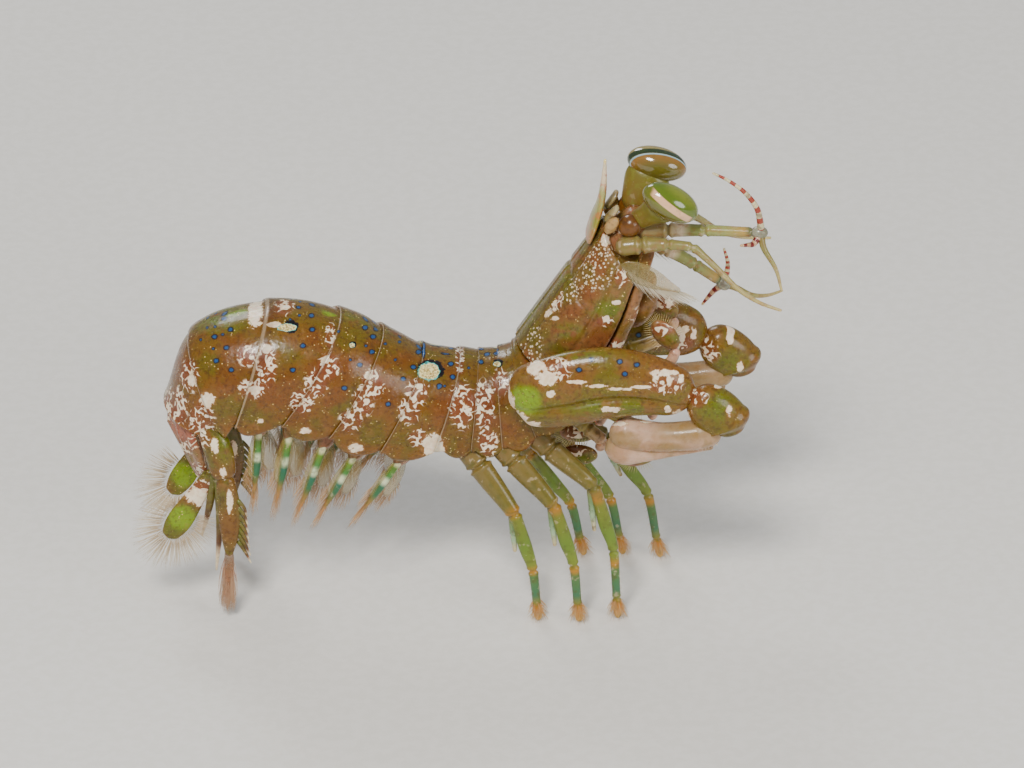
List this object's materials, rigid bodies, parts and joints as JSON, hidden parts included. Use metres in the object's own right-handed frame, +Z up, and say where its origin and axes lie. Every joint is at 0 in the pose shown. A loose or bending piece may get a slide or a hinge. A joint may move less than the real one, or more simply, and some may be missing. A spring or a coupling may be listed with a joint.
{
  "type": "mantis shrimp",
  "caption": "Still life-size mantis shrimp standing on its walking legs and tail fan, head raised, claws folded, eyes and feelers spread.",
  "frame": {"origin": "middle of the bounding box, on the floor that the feet and the tail fan stand on", "axes": "+X towards the head, +Y to the animal's left, +Z up from the floor"},
  "size_m": [0.0662, 0.019, 0.0498],
  "materials": {
    "shell": "glossy translucent brown shell",
    "carapace": "glossy pinkish brown shell with pale granules",
    "belly": "softer pale underside",
    "claw": "glossy olive brown shell",
    "claw_tip": "glossy pink shell",
    "eye": "clear glossy green cornea",
    "stalk": "smooth olive brown",
    "feeler": "translucent straw colour with red bands",
    "leg": "translucent green with orange joints",
    "swimmeret": "thin translucent leaves with pale bristles",
    "tail_fan": "translucent olive green with white patches and pale bristles"
  },
  "bodies": {
    "root": {"abdomen_1": "shell", "abdomen_2": "shell", "abdomen_3": "shell", "abdomen_4": "shell", "abdomen_5": "shell", "abdomen_6": "shell", "thorax_5": "shell", "thorax_6": "shell", "thorax_7": "shell", "thorax_8": "shell", "carapace": "carapace", "sternum": "belly", "head_front": "belly", "rostral_plate": "shell", "mouthparts": "belly", "telson": "tail_fan", "cornea_R": "eye", "eye_stalk_R": "stalk", "antennule_R": "feeler", "antennule_flagella_R": "feeler", "antenna_R": "feeler", "antennal_scale_R": "feeler", "claw_merus_R": "claw", "claw_carpus_R": "claw", "claw_propodus_R": "claw_tip", "claw_dactyl_R": "claw_tip", "uropod_R": "tail_fan", "maxilliped_3_R": "leg", "maxilliped_4_R": "leg", "maxilliped_5_R": "leg", "leg_1_R": "leg", "leg_2_R": "leg", "leg_3_R": "leg", "swimmeret_1_R": "swimmeret", "swimmeret_2_R": "swimmeret", "swimmeret_3_R": "swimmeret", "swimmeret_4_R": "swimmeret", "swimmeret_5_R": "swimmeret", "cornea_L": "eye", "eye_stalk_L": "stalk", "antennule_L": "feeler", "antennule_flagella_L": "feeler", "antenna_L": "feeler", "antennal_scale_L": "feeler", "claw_merus_L": "claw", "claw_carpus_L": "claw", "claw_propodus_L": "claw_tip", "claw_dactyl_L": "claw_tip", "uropod_L": "tail_fan", "maxilliped_3_L": "leg", "maxilliped_4_L": "leg", "maxilliped_5_L": "leg", "leg_1_L": "leg", "leg_2_L": "leg", "leg_3_L": "leg", "swimmeret_1_L": "swimmeret", "swimmeret_2_L": "swimmeret", "swimmeret_3_L": "swimmeret", "swimmeret_4_L": "swimmeret", "swimmeret_5_L": "swimmeret"}
  },
  "joints": []
}
